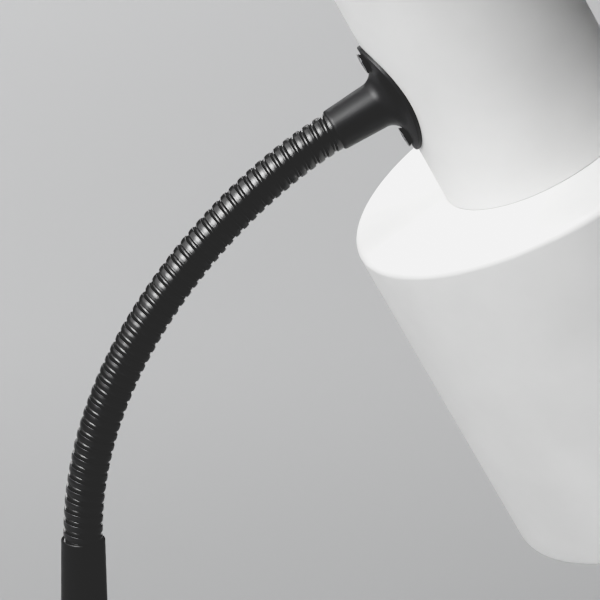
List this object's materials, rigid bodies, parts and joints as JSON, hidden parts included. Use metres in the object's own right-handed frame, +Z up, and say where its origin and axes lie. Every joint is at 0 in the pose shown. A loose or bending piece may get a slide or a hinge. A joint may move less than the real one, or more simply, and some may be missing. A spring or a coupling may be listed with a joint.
{
  "type": "desk lamp",
  "caption": "Gooseneck desk lamp: round weighted base, slender black stem, flexible coiled neck and a white drum shade under a cylindrical housing.",
  "frame": {"origin": "centre of the underside of the base, on the table", "axes": "+Z up, +X from the stem towards the lamp head, +Y to the left of the head seen from behind the stem"},
  "size_m": [0.3396, 0.165, 0.419],
  "materials": {
    "black_coat": "fine matte black powder coat",
    "neck_wire": "satin black coated steel wire",
    "black_casting": "die casting with a satin black powder coat",
    "black_screw": "black oxide steel, slightly glossy",
    "black_plate": "black primed steel sheet",
    "cast_weight": "raw sand cast iron",
    "white_coat": "fine matte white powder coat on spun aluminium",
    "foam_pad": "closed cell foam rubber",
    "black_plastic": "moulded plastic with a fine texture",
    "black_rubber": "soft moulded rubber",
    "cream_plastic": "moulded terminal plastic",
    "lead_sheath": "flexible sheath",
    "zinc_steel": "bright zinc plate",
    "spring_steel": "drawn spring wire",
    "holder_ceramic": "unglazed steatite",
    "contact_brass": "stamped brass",
    "opal_glass": "opal white glass",
    "cap_alloy": "rolled screw cap"
  },
  "bodies": {
    "base": {"base_cover": "black_coat", "base_weight": "cast_weight", "base_plate": "black_plate", "base_pad": "foam_pad", "base_screws": "zinc_steel", "stem": "black_coat", "stem_nut": "zinc_steel", "switch_body": "black_plastic", "switch_spring": "spring_steel", "cable_gland": "black_plastic", "terminal_block": "cream_plastic", "base_lead": "lead_sheath", "neck_01": "neck_wire"},
    "switch_button": {"switch_button": "black_plastic"},
    "link_02": {"neck_02": "neck_wire"},
    "link_03": {"neck_03": "neck_wire", "neck_lead_03": "lead_sheath"},
    "link_04": {"neck_04": "neck_wire"},
    "link_05": {"neck_05": "neck_wire", "neck_lead_05": "lead_sheath"},
    "link_06": {"neck_06": "neck_wire"},
    "link_07": {"neck_07": "neck_wire", "neck_lead_07": "lead_sheath"},
    "link_08": {"neck_08": "neck_wire"},
    "link_09": {"neck_09": "neck_wire", "neck_lead_09": "lead_sheath"},
    "link_10": {"neck_10": "neck_wire"},
    "link_11": {"neck_11": "neck_wire", "neck_lead_11": "lead_sheath"},
    "link_12": {"neck_12": "neck_wire"},
    "link_13": {"neck_13": "neck_wire", "neck_lead_13": "lead_sheath"},
    "link_14": {"neck_14": "neck_wire"},
    "link_15": {"neck_15": "neck_wire", "neck_lead_15": "lead_sheath"},
    "link_16": {"neck_16": "neck_wire"},
    "link_17": {"neck_17": "neck_wire", "neck_lead_17": "lead_sheath"},
    "link_18": {"neck_18": "neck_wire"},
    "link_19": {"neck_19": "neck_wire", "neck_lead_19": "lead_sheath"},
    "link_20": {"neck_20": "neck_wire"},
    "head": {"neck_21": "neck_wire", "ferrule": "black_casting", "flange_screws": "black_screw", "holder_bracket": "zinc_steel", "lead_grommet": "black_rubber", "head_lead": "lead_sheath", "housing": "white_coat", "holder_nipple": "zinc_steel", "nipple_nuts": "zinc_steel", "holder_cap": "black_plastic", "holder_core": "holder_ceramic", "holder_contact": "contact_brass", "holder_skirt": "black_plastic", "shade_ring": "black_plastic", "shade": "white_coat", "bulb_glass": "opal_glass", "bulb_cap": "cap_alloy"}
  },
  "joints": [
    {"name": "switch_press", "type": "slide", "parent": "base", "child": "switch_button", "axis": [0, 0, -1], "range_m": [0, 0.002], "stiffness_N_per_m": 900, "springref_m": -0.002, "deforming": ["switch_spring"]},
    {"name": "neck_sway_01", "type": "hinge", "parent": "base", "child": "link_02", "pos_m": [0.00053, 0, 0.20712], "axis": [0.9963, 0, -0.0861], "range_deg": [-6, 6]},
    {"name": "neck_bend_02", "type": "hinge", "parent": "link_02", "child": "link_03", "pos_m": [0.00139, 0, 0.21402], "axis": [0, 1, 0], "range_deg": [-4.3, 4.3]},
    {"name": "neck_bend_03", "type": "hinge", "parent": "link_03", "child": "link_04", "pos_m": [0.00267, 0, 0.22087], "axis": [0, 1, 0], "range_deg": [-4.3, 4.3]},
    {"name": "neck_bend_04", "type": "hinge", "parent": "link_04", "child": "link_05", "pos_m": [0.00433, 0, 0.22762], "axis": [0, 1, 0], "range_deg": [-4.3, 4.3]},
    {"name": "neck_sway_05", "type": "hinge", "parent": "link_05", "child": "link_06", "pos_m": [0.00637, 0, 0.23428], "axis": [0.9477, 0, -0.3192], "range_deg": [-6, 6]},
    {"name": "neck_bend_06", "type": "hinge", "parent": "link_06", "child": "link_07", "pos_m": [0.00877, 0, 0.24081], "axis": [0, 1, 0], "range_deg": [-4.3, 4.3]},
    {"name": "neck_bend_07", "type": "hinge", "parent": "link_07", "child": "link_08", "pos_m": [0.01151, 0, 0.24721], "axis": [0, 1, 0], "range_deg": [-4.3, 4.3]},
    {"name": "neck_bend_08", "type": "hinge", "parent": "link_08", "child": "link_09", "pos_m": [0.01456, 0, 0.25347], "axis": [0, 1, 0], "range_deg": [-4.3, 4.3]},
    {"name": "neck_sway_09", "type": "hinge", "parent": "link_09", "child": "link_10", "pos_m": [0.0179, 0, 0.25957], "axis": [0.8663, 0, -0.4995], "range_deg": [-6, 6]},
    {"name": "neck_bend_10", "type": "hinge", "parent": "link_10", "child": "link_11", "pos_m": [0.02151, 0, 0.26552], "axis": [0, 1, 0], "range_deg": [-4.3, 4.3]},
    {"name": "neck_bend_11", "type": "hinge", "parent": "link_11", "child": "link_12", "pos_m": [0.02537, 0, 0.27131], "axis": [0, 1, 0], "range_deg": [-4.3, 4.3]},
    {"name": "neck_bend_12", "type": "hinge", "parent": "link_12", "child": "link_13", "pos_m": [0.02946, 0, 0.27694], "axis": [0, 1, 0], "range_deg": [-4.3, 4.3]},
    {"name": "neck_sway_13", "type": "hinge", "parent": "link_13", "child": "link_14", "pos_m": [0.03377, 0, 0.28241], "axis": [0.7734, 0, -0.6339], "range_deg": [-6, 6]},
    {"name": "neck_bend_14", "type": "hinge", "parent": "link_14", "child": "link_15", "pos_m": [0.03829, 0, 0.28771], "axis": [0, 1, 0], "range_deg": [-4.3, 4.3]},
    {"name": "neck_bend_15", "type": "hinge", "parent": "link_15", "child": "link_16", "pos_m": [0.04299, 0, 0.29283], "axis": [0, 1, 0], "range_deg": [-4.3, 4.3]},
    {"name": "neck_bend_16", "type": "hinge", "parent": "link_16", "child": "link_17", "pos_m": [0.04789, 0, 0.29778], "axis": [0, 1, 0], "range_deg": [-4.3, 4.3]},
    {"name": "neck_sway_17", "type": "hinge", "parent": "link_17", "child": "link_18", "pos_m": [0.05298, 0, 0.30253], "axis": [0.6681, 0, -0.7441], "range_deg": [-6, 6]},
    {"name": "neck_bend_18", "type": "hinge", "parent": "link_18", "child": "link_19", "pos_m": [0.05825, 0, 0.30708], "axis": [0, 1, 0], "range_deg": [-4.3, 4.3]},
    {"name": "neck_bend_19", "type": "hinge", "parent": "link_19", "child": "link_20", "pos_m": [0.06371, 0, 0.31139], "axis": [0, 1, 0], "range_deg": [-4.3, 4.3]},
    {"name": "neck_sway_20", "type": "hinge", "parent": "link_20", "child": "head", "pos_m": [0.06937, 0, 0.31544], "axis": [0.5537, 0, -0.8327], "range_deg": [-6, 6]}
  ]
}
